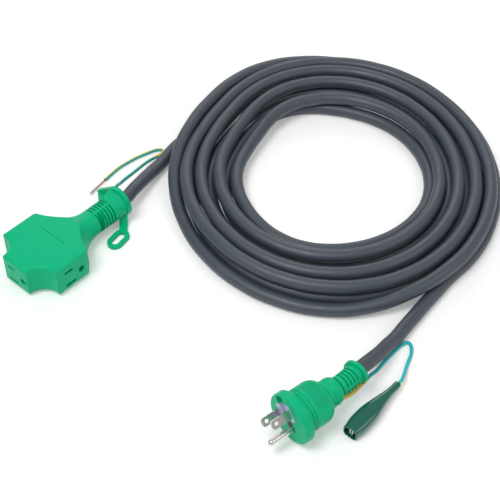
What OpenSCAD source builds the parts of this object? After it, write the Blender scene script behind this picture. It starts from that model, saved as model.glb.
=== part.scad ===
// Shore power cord: three-way tap, coiled cabtyre cord and a plug with a
// folding earth pin, an earth lead at each end and a booted alligator clip.
// Frame: origin at the middle of the tap's underside, +Z up, millimetres.
// The tap's own x axis runs out along its cable, turned by tap_yaw.

/* [Tap] */
// Turn of the tap on the floor
tap_yaw = 48.2; // [44:0.2:52]
// Height of the tap block
tap_height = 27; // [26.5:0.5:30]
// Front face, from the middle
tap_front = 28.3; // [28:0.1:32]
// Side faces, from the middle
tap_side = 30.3; // [30:0.1:34]
// Radius of the two finger flutes
flute_r = 14.2; // [13.2:0.1:14.6]
// Round along the lower edges
base_round = 6; // [3:0.5:6]
// Round along the upper edges
top_round = 3; // [1:0.5:4]
// Radius of the ribbed neck
neck_r = 10.4; // [10:0.1:11.4]
// Grooves round the neck
neck_grooves = 6; // [3:1:6]

/* [Socket] */
// Half the spacing of the two blade slots
blade_half_pitch = 6.35; // [6.2:0.05:6.5]
// Width of the live slot
live_slot_w = 7.6; // [7:0.1:8.4]
// Width of the neutral slot
neutral_slot_w = 9.4; // [8.4:0.1:9.8]
// Radius of the earth hole
earth_hole_r = 2.7; // [2.6:0.05:2.9]

/* [Cord] */
// Outside diameter of the cord
cord_d = 10.5; // [9:0.1:10.5]
// Insulation diameter of the earth leads
lead_d = 2.7; // [2.2:0.1:2.8]
// Mean radius of the outer turn
coil_r = 135; // [130:1:140]
// Step from one turn to the next
coil_pitch = 13.4; // [13:0.1:14]
// Whole turns in each layer
coil_loops = 4; // [3:1:4]
// Height from one layer to the next
coil_layer = 11.2; // [11:0.1:13]

/* [Plug] */
// Direction in which the blades point
plug_yaw = 218.4; // [214:0.2:224]
// Turn of the plug about its own axis
plug_roll = 38.3; // [30:0.1:46]
// Radius of the rim round the face
rim_r = 19; // [18.6:0.1:19.1]
// Length of the blades past the face
blade_len = 15.9; // [15:0.1:18]
// Width of the blades
blade_w = 6.35; // [6.2:0.05:6.5]
// Thickness of the blades
blade_t = 1.5; // [1.4:0.05:1.6]
// Radius of the earth pin
pin_r = 2.4; // [2.2:0.05:2.4]
// Earth pin, from its hinge to its tip
pin_len = 24; // [22:0.1:24]
// Turn of the earth pin, folded at 90
pin_fold = 0; // [0:5:90]

/* [Clip] */
// Turn of the clip on the floor
clip_yaw = 229.1; // [224:0.1:234]
// Length of the boot
boot_len = 54; // [52:0.5:58]
// Turn of each jaw
jaw_turn = 0; // [0:1:9]

/* [Hidden] */
$fn = 64;
eps = 0.01;
snug = 0.05;     // clearance of seated pieces
lead_gap = 0.1;  // clearance of a lead in its channel
far = 200;

green = [0.05, 0.66, 0.46];
dark_green = [0.06, 0.4, 0.32];
grey = [0.3, 0.33, 0.37];
steel = [0.78, 0.78, 0.76];
brass = [0.82, 0.66, 0.36];
lilac = [0.66, 0.68, 0.82];
ivory = [0.86, 0.84, 0.78];
lead_green = [0.05, 0.7, 0.65];

// --- tap, in its own frame ---
arm_x = 1.2;              // middle of the side arms along the cable
arm_back = 17.6;          // rear end of the side arms
flute_x = -27.8;
flute_y = 27.7;
axis_z = tap_height / 2;
neck_x = 47;              // where the flare has become the round neck
flare_r = 31;
flare_y = neck_r + flare_r;
neck_end = 78.5;
flange_t = 3.5;
flange_r = 12.6;
flange_lift = 2;
ear_y = 21;
ear_r = 2;
ear_drop = -0.5;
swell_r = 11.5;
swell_tilt = 5;
web_t = 3.6;
edge_r = 2.5;             // upright edges
wall = 3.8;
core_bottom = 4.4;
core_top = tap_height - core_bottom;
core_front_half = 11.9;
core_arm_front = -11;
core_arm_back = 13.4;
core_back = 15;
chamber_r = 9.6;
jacket_end = 34;          // where the sheath stops inside the tap
slot_off = 3.6;           // slots stand to the left of the middle
earth_off = -8.3;         // earth hole to the right
slot_t = 2.2;
strip_w = 7;
strip_t = 0.8;
cord_r = cord_d / 2;
lead_r = lead_d / 2;
bore_r = cord_r + snug;
bore_ease = 0.03;         // straight bore over the bent one
hot_z = axis_z + blade_half_pitch;
neutral_z = axis_z - blade_half_pitch;
leaf_gap = 0.75;          // half the space between two contact leaves
pocket_gap = 0.2;
tube_r = 3.2;
tube_in_r = 2.35;
tube_len = 12;
earth_half = 3.3;         // half width of the earth strips
pin_way = 7;              // room for a pin past its tube
contact_in = tap_front - wall - snug;
contact_side = tap_side - wall - snug;
groove_w = 1.3;
groove_step = 2.9;
groove_depth = 1.7;
lead_in = [66, 4.2, 21.2];    // earth lead inside the collar
lead_out = [78.5, 5.3, 24.4]; // and where it leaves the flange
eye = [56, -19.5];            // middle of the hanging eye
eye_turn = 10;
eye_long = 14;
eye_wide = 5.8;
eye_wall = 3.3;
strap_start = [74, -7.4, 0];  // inside the flange's edge
strap_w = 6.4;
strap_t = 2.8;
floor_gap = 0.2;
strap_low = floor_gap + 0.1;            // the leg is a little thinner than the eye
strap_high = floor_gap + strap_t - 0.15;

// --- plug frame: x out along the blades, z up before the roll ---
plug_pos = [178.5, -154, 19.2];
blade_up = 5.3;           // blades stand above the middle of the face
pin_up = -6.6;            // earth pin below it
pin_root = 5.2;           // thinner root of the pin, up to just past the face
pin_waist = 0.4;
knuckle_side = 2.15;      // rounds the knuckle ends
pin_back = 4.2;           // hinge behind the face
rim_len = 6.4;
body_r = 15.8;
notch_r = 10.3;
shoulder_x = -37;
relief_r = 7.5;
relief_x = -43.4;
relief_bend = 79;         // radius to which the relief is bent
relief_angle = 12;
relief_ring_r = 9.2;
ring_angle = 2;
relief_grooves = 4;
insert_back = -22;
chamber_x = -28;
plug_chamber_r = 7.2;
plug_jacket_end = -37;
slot_half = 2.7;          // half the width of the pin's channel
earth_strand_z = -5.3;
channel_deep = 7;
cheek_t = 0.7;
leaf_t = 0.3;
keyhole_half = 3.6;       // finger room round the folded pin's tip
keyhole_low = 12;
keyhole_high = 17.2;
ring_lines = [-10.6, -12.8];
ring_line_w = 0.8;
clip_exit = [-43.5, 5.6, -6.2];
clip_start = [-33.5, 3.85, -4.45];

// --- clip frame: x towards the mouth, y across the jaws ---
clip_pos = [219.6, -154.9, 5.4];
jaw_x = -19;
jaw_h = 2.9;              // half height of the jaws
sheet = 0.6;

// ---------- frames ----------
module at_tap() { rotate([0, 0, tap_yaw]) children(); }
module at_plug() { translate(plug_pos) rotate([0, 0, plug_yaw]) children(); }
module at_face() { at_plug() rotate([plug_roll, 0, 0]) children(); }
module at_clip() { translate(clip_pos) rotate([0, 0, clip_yaw]) children(); }

function turned(p, a) =
    [p[0] * cos(a) - p[1] * sin(a), p[0] * sin(a) + p[1] * cos(a), p[2]];
function tap_pt(p) = turned(p, tap_yaw);
function plug_pt(p) = plug_pos + turned(p, plug_yaw);
function clip_pt(p) = clip_pos + turned(p, clip_yaw);

// A straight rod from p to q.
module rod(p, q, r) {
    d = q - p;
    len = norm(d);
    turn = atan2(d[1], d[0]);
    tilt = acos(d[2] / len);
    translate(p) rotate([0, tilt, turn]) cylinder(r = r, h = len);
}

// ---------- swept cords ----------
function unit(v) = v / norm(v);
function heading(p, i) =
    let (a = max(i - 1, 0), b = min(i + 1, len(p) - 1)) unit(p[b] - p[a]);
function ring_at(c, t, r, n) =
    let (s = unit(cross(t, [0, 0, 1])), u = cross(s, t))
    [for (k = [0 : n - 1]) c + r * (cos(360 * k / n) * s + sin(360 * k / n) * u)];

// One closed tube of radius r with n sides along the points p.
module swept(p, r, n) {
    m = len(p);
    pts = [for (i = [0 : m - 1]) each ring_at(p[i], heading(p, i), r, n)];
    skin = [for (i = [0 : m - 2], k = [0 : n - 1])
        let (a = i * n + k, b = i * n + (k + 1) % n)
        each [[a, a + n, b + n], [a, b + n, b]]];
    first = [for (k = [1 : n - 2]) [0, k, k + 1]];
    last = [for (k = [1 : n - 2]) [(m - 1) * n, (m - 1) * n + k + 1, (m - 1) * n + k]];
    polyhedron(points = pts, faces = concat(skin, first, last));
}

// ---------- coil ----------
// The cord comes in low, winds inwards on the floor, climbs, winds outwards on
// top, drops outside the other turns, passes over its own start and leaves low.
coil_mid = [220, 97];
coil_wide = 0.94;
coil_tall = 1.06;
coil_start = 148;         // angle at which the cord comes in
coil_end = -37;           // and goes out again
coil_rings = 24;          // rings to a turn
coil_low = cord_r + 0.05;
coil_climb = 0.4;
full_turn = 360;
coil_all = 2 * coil_loops + (coil_start - coil_end) / full_turn;
coil_steps = floor(coil_all * coil_rings);
tuck = 0.3;               // part of a turn in which the start moves inwards
inner = coil_loops - 1 + tuck;
upper_end = 2 * coil_loops - 0.9;
// Place across the winding, counted in steps from the outermost turn.
lanes = [[0, 0.15], [tuck, 0.75], [tuck + 0.2, 0.84], [inner, coil_loops],
    [inner + coil_climb, coil_loops], [upper_end - 0.8, 1.17], [upper_end - 0.5, 0.84],
    [upper_end - 0.1, 0.64], [upper_end + 0.2, 0.28], [upper_end + 0.4, 0.02],
    [upper_end + 0.6, -0.25], [upper_end + 0.9, -0.25], [upper_end + 1.05, -0.42],
    [upper_end + 1.2, -0.36], [coil_all, -0.15]];
// Height above the floor, counted in layers.
lifts = [[inner, 0], [inner + coil_climb, 1], [upper_end + 0.47, 1], [upper_end + 0.58, 0],
    [upper_end + 0.7, 0], [upper_end + 0.83, 1], [upper_end + 1.02, 1], [upper_end + 1.2, 0]];
dent = 6;                 // how far the winding is pressed in where the start comes in
dent_angle = 150;
dent_spread = 24;
function dented(a) = let (off = (a - dent_angle) % full_turn,
    near = off < -full_turn / 2 ? off + full_turn : off)
    dent * exp(-pow(near / dent_spread, 2));
function coil_pt(s) =
    let (a = coil_start - full_turn * s, r = coil_r - coil_pitch * lookup(s, lanes) - dented(a))
    [coil_mid[0] + coil_wide * r * cos(a), coil_mid[1] + coil_tall * r * sin(a),
        coil_low + coil_layer * lookup(s, lifts)];
function coil_dir(s) = unit(coil_pt(s + 0.002) - coil_pt(s - 0.002));
coil_in = coil_pt(0) - cord_d * coil_dir(0.002);
coil_out = coil_pt(coil_all) + cord_d * coil_dir(coil_all - 0.002);
coil_path = concat([coil_in],
    [for (i = [0 : coil_steps]) coil_pt(coil_all * i / coil_steps)], [coil_out]);
coil_gaps = [for (i = [0 : len(coil_path) - 1], j = [i + 12 : 1 : len(coil_path) - 1])
    norm(coil_path[i] - coil_path[j]) - cord_d];
echo(least_gap_of_coil_to_itself_mm = min(coil_gaps));

// ---------- free stretches ----------
coil_in_dir = coil_dir(0.002);
coil_out_dir = coil_dir(coil_all - 0.002);
tap_end_path = concat(
    [tap_pt([jacket_end, 0, axis_z]), tap_pt([neck_end, 0, axis_z]),
    tap_pt([neck_end + 6, 0, axis_z])],
    [[61, 73.2, 12.6], [64.6, 80.8, 11.2], [68.2, 88.8, 9.6], [71.6, 95.6, 8.2],
    [75.2, 102.4, 6.8], [79.9, 111, 5.7], [85.6, 122, 5.3], [91.5, 132.6, 5.3],
    [97.8, 142.4, 5.3]],
    [coil_in - cord_d * coil_in_dir, coil_in]);
relief_mid = [relief_x, -relief_bend, 0];
function relief_pt(a) = plug_pt(relief_mid + relief_bend * [cos(90 + a), sin(90 + a), 0]);
plug_end_path = concat(
    [plug_pt([plug_jacket_end, 0, 0]), plug_pt([relief_x, 0, 0])],
    [for (i = [1 : 3]) relief_pt(relief_angle * i / 3)],
    [relief_pt(relief_angle + ring_angle)],
    [[230.6, -108.6, 18.6], [237.2, -100.6, 15.8], [243.8, -92, 12.2], [250.2, -82.4, 8.8],
    [256.4, -74.4, 6.6], [264.6, -62.6, 5.5], [272.9, -51.5, 5.3], [281.6, -39.9, 5.3],
    [290.6, -28.6, 5.3], [299.5, -17.2, 5.3]],
    [coil_out + cord_d * coil_out_dir, coil_out]);
tap_lead_path = concat([tap_pt(lead_in), tap_pt(lead_out)],
    [[49.6, 65.4, 24.2], [50.8, 71.2, 20.6], [54.3, 82, 16], [59.2, 93.2, 12],
    [64.3, 104.2, 8.6], [69.1, 113.6, 5.8], [74.3, 120.7, 4.2], [78.7, 125.4, 3.2],
    [80.8, 128, 2.6], [81.5, 130.6, 2.2], [80.4, 133, 2], [77.8, 133.8, 1.8],
    [73.4, 132.6, 1.7], [67.9, 129.5, 1.5], [60.6, 124.7, 1.5], [53.8, 119.1, 1.5],
    [47.2, 112.8, 1.5], [41.2, 105.1, 1.5], [35.8, 96.8, 1.5]]);
strand_end = [29.9, 87.5, 1.4];
tip_end = [25.4, 80.3, 1.4];
clip_lead_path = concat([plug_pt(clip_start), plug_pt(clip_exit)],
    [[219.8, -129, 12.2], [224, -124.4, 10.6], [228.5, -118, 8.4], [232, -113, 6.4],
    [236.1, -106.3, 4.4], [241.2, -100.6, 2.8], [245.9, -93.9, 1.8], [251.7, -86.5, 1.6],
    [256.9, -80.6, 1.6], [261.4, -76.2, 1.6], [264.9, -73.9, 1.6], [267.2, -75.2, 1.6],
    [268, -80, 1.6], [266.8, -85.9, 1.6], [264.7, -91.2, 1.6], [262.6, -96.9, 2.2],
    [260.4, -104, 3.6]],
    [clip_pt([-boot_len - 4, 0, 0]), clip_pt([-boot_len, 0, 0]), clip_pt([-38, 0, 0])]);

// ---------- tap cover ----------
module upright_corner(r) {
    difference() {
        square([r + 1, r + 1]);
        circle(r);
    }
}

module tap_plan() {
    difference() {
        translate([-tap_front, -tap_side]) square([tap_front + arm_back, 2 * tap_side]);
        for (s = [-1, 1]) {
            translate([flute_x, s * flute_y]) circle(flute_r);
            mirror([0, s > 0 ? 0 : 1, 0]) {
                translate([edge_r - tap_front, flute_y - flute_r - edge_r])
                    mirror([1, 0, 0]) upright_corner(edge_r);
                translate([flute_x + flute_r + edge_r - 0.15, tap_side - edge_r])
                    mirror([1, 0, 0]) upright_corner(edge_r);
                translate([arm_back - 4, tap_side - 4]) upright_corner(4);
            }
        }
    }
}

// What rounds a straight lower edge along y, at x = 0, off by r.
module edge_cut(r) {
    difference() {
        translate([-1, -far / 2, -1]) cube([r + 1, far, r + 1]);
        translate([r, far / 2 + 1, r]) rotate([90, 0, 0]) cylinder(r = r, h = far + 2);
    }
}

module flute_cut(r) {
    rotate_extrude() difference() {
        translate([flute_r - 1, -1]) square([r + 1, r + 1]);
        translate([flute_r + r, r]) circle(r);
    }
}

module all_edges(r) {
    translate([-tap_front, 0, 0]) edge_cut(r);
    for (s = [-1, 1]) {
        translate([flute_x, s * flute_y, 0]) flute_cut(r);
        mirror([0, s > 0 ? 0 : 1, 0]) intersection() {
            translate([0, tap_side, 0]) rotate([0, 0, -90]) edge_cut(r);
            translate([-far / 2, tap_side - r - 1, -2]) cube([far, far, 20]);
        }
    }
}

module tap_block() {
    difference() {
        linear_extrude(tap_height) tap_plan();
        all_edges(base_round);
        translate([0, 0, tap_height]) mirror([0, 0, 1]) all_edges(top_round);
    }
}

module flare() {
    intersection() {
        translate([0, 0, axis_z]) rotate([0, 90, 0]) rotate_extrude() difference() {
            translate([0, 10]) square([flare_y - 10, neck_x - 10]);
            translate([flare_y, neck_x]) circle(flare_r);
        }
        translate([0, -tap_side + 3, 0]) cube([neck_x, 2 * tap_side - 6, tap_height]);
    }
}

module neck_groove(x) {
    translate([x, 0, axis_z]) rotate([0, 90, 0]) difference() {
        cylinder(r = neck_r + 2, h = groove_w);
        translate([0, 0, -1]) cylinder(r = neck_r - groove_depth, h = groove_w + 2);
        for (a = [14, 194])
            rotate([0, 0, a]) translate([0, -1, -1]) cube([far, 2, groove_w + 2]);
    }
}

module flange_outline() {
    far_y = ear_y;
    far_z = flange_lift + ear_drop - 2;
    mid_z = flange_lift;
    lean = atan2(far_z - mid_z, far_y);
    open = acos((flange_r - ear_r) / norm([far_y, far_z - mid_z]));
    up = lean + open;
    down = lean - open;
    translate([0, mid_z]) circle(flange_r);
    translate([far_y, far_z]) circle(ear_r);
    polygon([[flange_r * cos(up), mid_z + flange_r * sin(up)],
        [far_y + ear_r * cos(up), far_z + ear_r * sin(up)],
        [far_y + ear_r * cos(down), far_z + ear_r * sin(down)],
        [flange_r * cos(down), mid_z + flange_r * sin(down)]]);
}

module collar() {
    swell_x = neck_x + neck_grooves * groove_step;
    swell_len = neck_end - flange_t / 2 - swell_x;
    translate([neck_x - 0.5, 0, axis_z]) rotate([0, 90, 0])
        cylinder(r = neck_r, h = neck_end - neck_x);
    // swelling from the last groove to the flange, and the ear's web
    translate([swell_x, 0, axis_z]) rotate([0, 90 - swell_tilt, 0])
        cylinder(r1 = neck_r - 0.1, r2 = swell_r, h = swell_len);
    translate([0, 0, axis_z + flange_lift + ear_drop - 2 - web_t / 2]) linear_extrude(web_t)
        polygon([[swell_x, 0], [swell_x, neck_r - 0.6], [neck_end - flange_t - 1, ear_y + 0.5],
            [neck_end - 1, ear_y + 0.5], [neck_end - 1, 0]]);
    translate([neck_end - flange_t, 0, axis_z]) rotate([90, 0, 90])
        linear_extrude(flange_t) flange_outline();
    rod(lead_in, lead_in + (lead_out - lead_in) * 0.92, lead_r + 1.3);
}

module eye_outline(grow) {
    half = eye_long / 2 - eye_wide / 2;
    translate(eye) rotate(eye_turn) {
        for (s = [-1, 1]) translate([s * half, 0]) circle(eye_wide / 2 + grow);
        translate([-half, -eye_wide / 2 - grow]) square([2 * half, eye_wide + 2 * grow]);
    }
}

// Flat strap that leaves the collar's side, drops and carries the eye.
module strap() {
    difference() {
        union() {
            translate([0, 0, floor_gap]) linear_extrude(strap_t) eye_outline(eye_wall);
            translate(strap_start) rotate([0, 0, -90 - tap_yaw]) rotate([90, 0, 0])
                translate([0, 0, -strap_w / 2]) linear_extrude(strap_w)
                polygon([[-3, 8], [1, 5], [5, strap_low], [13, strap_low],
                    [13, strap_high], [6.4, strap_high], [3, 8], [-1, 11], [-3, 11]]);
        }
        translate([0, 0, -1]) linear_extrude(strap_t + 3) eye_outline(0);
    }
}

// One socket's openings, for the front face; turned for the others.
module socket_cut(deep) {
    x = -far / 2;
    for (f = [[hot_z, live_slot_w], [neutral_z, neutral_slot_w]])
        translate([x, slot_off + live_slot_w / 2 - f[1], f[0] - slot_t / 2])
            cube([far / 2 - deep, f[1], slot_t]);
    translate([x, earth_off, axis_z]) rotate([0, 90, 0])
        cylinder(r = earth_hole_r, h = far / 2 - deep);
}

module for_each_socket() {
    children();
    for (s = [-1, 1])
        translate([arm_x, 0, 0]) rotate([0, 0, s * 90]) children();
}

module core_plan(grow) {
    translate([-tap_front + wall - grow, -core_front_half - grow])
        square([tap_front - wall + core_back + 2 * grow, 2 * core_front_half + 2 * grow]);
    translate([core_arm_front - grow, -tap_side + wall - grow])
        square([core_arm_back - core_arm_front + 2 * grow, 2 * (tap_side - wall + grow)]);
}

module tap_cover() {
    color(green) at_tap() difference() {
        union() {
            tap_block();
            flare();
            collar();
            strap();
        }
        translate([0, 0, core_bottom]) linear_extrude(core_top - core_bottom) core_plan(0);
        translate([core_back - 1, 0, axis_z]) rotate([0, 90, 0])
            cylinder(r = chamber_r, h = jacket_end - core_back + 1);
        translate([jacket_end - 1, 0, axis_z]) rotate([0, 90, 0])
            cylinder(r = bore_r, h = neck_end);
        rod(lead_in - (lead_out - lead_in) * 0.15, lead_out + (lead_out - lead_in),
            lead_r + lead_gap);
        for (i = [0 : neck_grooves - 1]) neck_groove(neck_x + 1.2 + i * groove_step);
        for_each_socket() socket_cut(tap_front - wall - 1);
        translate([10, -13, tap_height - 0.4]) cube([0.7, 27, 2]);
    }
}

// ---------- tap insides ----------
module strip(x0, x1, y, z) {
    translate([x0, y - strip_w / 2, z]) cube([x1 - x0, strip_w, strip_t]);
}

// Plan of a blade bus: three arms, each behind its slot.
module bus_plan(grow) {
    translate([-contact_in - grow, slot_off - strip_w / 2 - grow])
        square([contact_in + 8.3 + 2 * grow, strip_w + 2 * grow]);
    translate([arm_x + slot_off - strip_w / 2 - grow, 0])
        square([strip_w + 2 * grow, contact_side + grow]);
    translate([arm_x - slot_off - strip_w / 2 - grow, -contact_side - grow])
        square([strip_w + 2 * grow, contact_side + slot_off + strip_w / 2 + 2 * grow]);
    translate([5, slot_off - 1.5 - grow]) square([14.5, 3 + 2 * grow]);
}

// Second leaf of one receptacle, folded back under the first.
module leaf(reach, z, side) {
    up = side > 0;
    translate([-reach, slot_off - strip_w / 2, up ? z - leaf_gap - strip_t : z + leaf_gap])
        cube([12, strip_w, strip_t]);
    translate([12 - reach - strip_t, slot_off - strip_w / 2, z - leaf_gap - eps])
        cube([strip_t, strip_w, 2 * leaf_gap + 2 * eps]);
}

module blade_bus(z, side) {
    translate([0, 0, side > 0 ? z + leaf_gap : z - leaf_gap - strip_t])
        linear_extrude(strip_t) bus_plan(0);
    leaf(contact_in, z, side);
    for (s = [-1, 1])
        translate([arm_x, 0, 0]) rotate([0, 0, s * 90]) leaf(contact_side, z, side);
}

module tap_hot_bus() { color(brass) at_tap() blade_bus(hot_z, 1); }
module tap_neutral_bus() { color(brass) at_tap() blade_bus(neutral_z, -1); }

module earth_tube(reach) {
    translate([-reach, earth_off, axis_z]) rotate([0, 90, 0]) difference() {
        cylinder(r = tube_r, h = tube_len);
        translate([0, 0, -1]) cylinder(r = tube_in_r, h = tube_len + 2);
        translate([-far, -0.5, -1]) cube([far, 1, tube_len - 1]);
    }
}

module earth_plan(grow) {
    front = -contact_in + tube_len - 1;
    side = contact_side - tube_len + 1;
    w = earth_half;
    translate([front - grow, earth_off - w - grow])
        square([arm_x - earth_off + w - front + 2 * grow, 2 * w + 2 * grow]);
    translate([arm_x + earth_off - w - grow, earth_off - w - grow])
        square([2 * w + 2 * grow, side - earth_off + w + 2 * grow]);
    translate([arm_x - earth_off - w - grow, -side - grow])
        square([2 * w + 2 * grow, side + earth_off + w + 2 * grow]);
    translate([7, -7.5 - grow]) square([12.5, 3 + 2 * grow]);
}

module tap_earth_bus() {
    color(brass) at_tap() {
        earth_tube(contact_in);
        for (s = [-1, 1])
            translate([arm_x, 0, 0]) rotate([0, 0, s * 90]) earth_tube(contact_side);
        translate([0, 0, axis_z - strip_t / 2]) linear_extrude(strip_t) difference() {
            earth_plan(0);
            tube_mouths();
        }
    }
}

// Ways for the pins, past the tubes and through the strips.
module tube_mouth(reach) {
    half = tube_in_r + 0.1;
    translate([tube_len - 2 - reach, earth_off - half]) square([pin_way, 2 * half]);
}

module tube_mouths() {
    tube_mouth(contact_in);
    for (s = [-1, 1]) translate([arm_x, 0]) rotate(s * 90) tube_mouth(contact_side);
}

module tube_seats(grow) {
    for_each_tube() rotate([0, 90, 0]) cylinder(r = tube_r + grow, h = tube_len + pin_way + 3);
}

module for_each_tube() {
    translate([-contact_in - 5, earth_off, axis_z]) children();
    for (s = [-1, 1])
        translate([arm_x, 0, 0]) rotate([0, 0, s * 90])
            translate([-contact_side - 5, earth_off, axis_z]) children();
}

// Half of the insulating block; side 1 is the upper half.
module core_half(side) {
    z0 = side > 0 ? axis_z : core_bottom + snug;
    z1 = side > 0 ? core_top - snug : axis_z;
    bus_z = side > 0 ? hot_z : neutral_z;
    seat = leaf_gap + strip_t;
    difference() {
        translate([0, 0, z0]) linear_extrude(z1 - z0) core_plan(-snug);
        translate([0, 0, side > 0 ? axis_z - 1 : bus_z - seat])
            linear_extrude(side > 0 ? bus_z + seat - axis_z + 1 : axis_z - bus_z + seat + 1)
            bus_plan(pocket_gap);
        translate([0, 0, axis_z - strip_t / 2 - (side > 0 ? pocket_gap : 0)])
            linear_extrude(strip_t + pocket_gap) earth_plan(pocket_gap);
        tube_seats(0.05);
        for_each_socket() socket_cut(tap_front - wall - 1);
    }
}

module tap_core_lower() { color(ivory) at_tap() core_half(-1); }
module tap_core_upper() { color(ivory) at_tap() core_half(1); }

core_r = 1.7;
strand_r = 0.85;
sheath_gap = 0.85;        // from the sheath's end to the slanting cores
module tap_wire(c, p, q, d) {
    color(c) at_tap() {
        rod(p, q, core_r);
        rod(q - d * 0.2, q + d, strand_r);
    }
}
bus_tail = slot_off;
module tap_black_core() {
    tap_wire([0.12, 0.12, 0.13], [jacket_end - sheath_gap, 1.2, axis_z + 2.1],
        [23.5, bus_tail, hot_z - 0.16], [-5, 0, 0]);
}
module tap_white_core() {
    tap_wire([0.9, 0.9, 0.88], [jacket_end - sheath_gap, 1.2, axis_z - 2.1],
        [23.5, bus_tail, neutral_z + 0.16], [-5, 0, 0]);
}
module tap_green_core() {
    tap_wire([0.1, 0.6, 0.3], [jacket_end - sheath_gap, -2.42, axis_z],
        [23.5, -6, axis_z + strip_t / 2 + strand_r + 0.01], [-5, 0, 0]);
}

// ---------- cords and leads ----------
module cord_tap_end() { color(grey) swept(tap_end_path, cord_r, 10); }
module cord_coil() { color(grey) swept(coil_path, cord_r, 6); }
module cord_plug_end() { color(grey) swept(plug_end_path, cord_r, 10); }
module tap_lead() { color(lead_green) swept(tap_lead_path, lead_r, 8); }
module clip_lead() { color(lead_green) swept(clip_lead_path, lead_r, 8); }
lead_stop = tap_lead_path[len(tap_lead_path) - 1];
module tap_lead_wire() {
    color(brass) rod(lead_stop + unit(strand_end - lead_stop) * 0.3, strand_end, 0.6);
}
module tap_lead_tip() {
    color(steel) difference() {
        rod(strand_end - unit(tip_end - strand_end) * 1.5, tip_end, 1.3);
        rod(strand_end - unit(tip_end - strand_end) * 3, strand_end + [0, 0, 0], 0.65);
    }
}

// ---------- plug ----------
module spin_x() { rotate([0, 90, 0]) rotate_extrude() children(); }

module plug_profile() {
    // rim with a rounded front edge and a short cone behind it
    translate([0, -rim_len]) square([rim_r, rim_len - 1.2]);
    translate([0, -2]) square([rim_r - 1.2, 2]);
    translate([rim_r - 1.2, -1.2]) circle(1.2, $fn = 24);
    polygon([[0, -rim_len - 3], [body_r + 0.5, -rim_len - 3], [rim_r, -rim_len], [0, -rim_len]]);
    // barrel, rounded off towards the notch
    translate([0, -22.5]) square([body_r, 14]);
    intersection() {
        translate([body_r - 9, -22.5]) circle(9, $fn = 40);
        translate([0, -32.5]) square([body_r, 11]);
    }
    translate([0, -33.5]) square([notch_r, 12]);
    // shoulder
    intersection() {
        translate([3.7, shoulder_x]) circle(6.5, $fn = 40);
        translate([0, relief_x]) square([12, 14]);
    }
    translate([0, relief_x]) square([4, 12]);
}

module relief_arc(r, from, span) {
    translate(relief_mid) rotate([0, 0, 90 + from])
        rotate_extrude(angle = span) translate([relief_bend, 0]) circle(r);
}

module relief_groove(a) {
    translate(relief_mid) rotate([0, 0, 90 + a]) rotate_extrude(angle = 1)
        translate([relief_bend, 0]) difference() {
            circle(relief_r + 1);
            circle(relief_r - 1.4);
            for (t = [18, 198]) rotate(t) translate([0, -1]) square([20, 2]);
        }
}

module blade_slots(grow) {
    for (s = [-1, 1])
        translate([-far, s * blade_half_pitch - blade_t / 2 - grow,
            blade_up - blade_w / 2 - grow])
            cube([2 * far, blade_t + 2 * grow, blade_w + 2 * grow]);
}

insert_half = 8;
insert_low = -1.2;
insert_high = 11.8;
foot_half = 6;
foot_low = -11.4;
module insert_solid(grow) {
    translate([insert_back - grow, -insert_half - grow, insert_low - grow])
        cube([-insert_back + grow, 2 * insert_half + 2 * grow, insert_high - insert_low + 2 * grow]);
    translate([insert_back - grow, -foot_half - grow, foot_low - grow])
        cube([-insert_back - 0.6 + grow, 2 * foot_half + 2 * grow, insert_low - foot_low + 1]);
}

// Channel in which the earth pin swings and lies when folded.
module pin_channel() {
    translate([-channel_deep, -slot_half, pin_up - pin_r - 0.4])
        cube([channel_deep + 1, 2 * slot_half, pin_len + pin_r + 0.8]);
    translate([-channel_deep, -keyhole_half, keyhole_low])
        cube([channel_deep + 1, 2 * keyhole_half, keyhole_high - keyhole_low]);
}

module plug_cover() {
    color(green) difference() {
        at_plug() {
            spin_x() plug_profile();
            relief_arc(relief_r, -0.2, relief_angle + 0.4);
            relief_arc(relief_ring_r, relief_angle, ring_angle);
        }
        at_face() {
            insert_solid(0);
            pin_channel();
        }
        at_plug() {
            translate([chamber_x, 0, 0]) rotate([0, 90, 0]) cylinder(r = 11, h = insert_back - chamber_x + 1);
            translate([plug_jacket_end, 0, 0]) rotate([0, 90, 0])
                cylinder(r = plug_chamber_r, h = chamber_x - plug_jacket_end + 1);
            translate([relief_x - 0.3, 0, 0]) rotate([0, 90, 0])
                cylinder(r = bore_r + bore_ease, h = plug_jacket_end - relief_x + 1);
            relief_arc(bore_r, -0.1, relief_angle + ring_angle + 1);
            for (i = [0 : relief_grooves - 1]) relief_groove(1.8 + i * 2.1);
            for (x = ring_lines) translate([x, 0, 0]) rotate([0, 90, 0]) difference() {
                cylinder(r = 2 * body_r, h = ring_line_w);
                translate([0, 0, -1]) cylinder(r = body_r - 0.5, h = ring_line_w + 2);
            }
            rod(clip_start - (clip_exit - clip_start) * 0.1, clip_exit + (clip_exit - clip_start),
                lead_r + lead_gap);
        }
    }
}

module plug_core() {
    color(lilac) at_face() difference() {
        insert_solid(-snug);
        pin_channel();
        blade_slots(0.02);
        bracket_solid(0.05);
        pivot_rod(0.05, 0.3);
        translate([insert_back - 1, 0, earth_strand_z]) rotate([0, 90, 0]) cylinder(r = 1.2, h = 4);
    }
}

module blade(s) {
    root = insert_back + 1;
    hole_x = blade_len - 4;
    translate([0, s * blade_half_pitch - blade_t / 2, blade_up]) difference() {
        translate([root, 0, -blade_w / 2]) cube([blade_len - root, blade_t, blade_w]);
        translate([hole_x, -1, 0]) rotate([-90, 0, 0]) cylinder(r = 1.5, h = blade_t + 2);
        for (k = [-1, 1]) {
            translate([blade_len, -1, k * blade_w / 2]) rotate([0, 45, 0])
                cube([2.2, far, 2.2], center = true);
            translate([blade_len, blade_t / 2 + k * blade_t / 2, 0]) rotate([0, 0, 45])
                cube([0.7, 0.7, far], center = true);
        }
    }
}

module live_blade() { color(brass) at_face() blade(1); }
module neutral_blade() { color(brass) at_face() blade(-1); }

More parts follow.
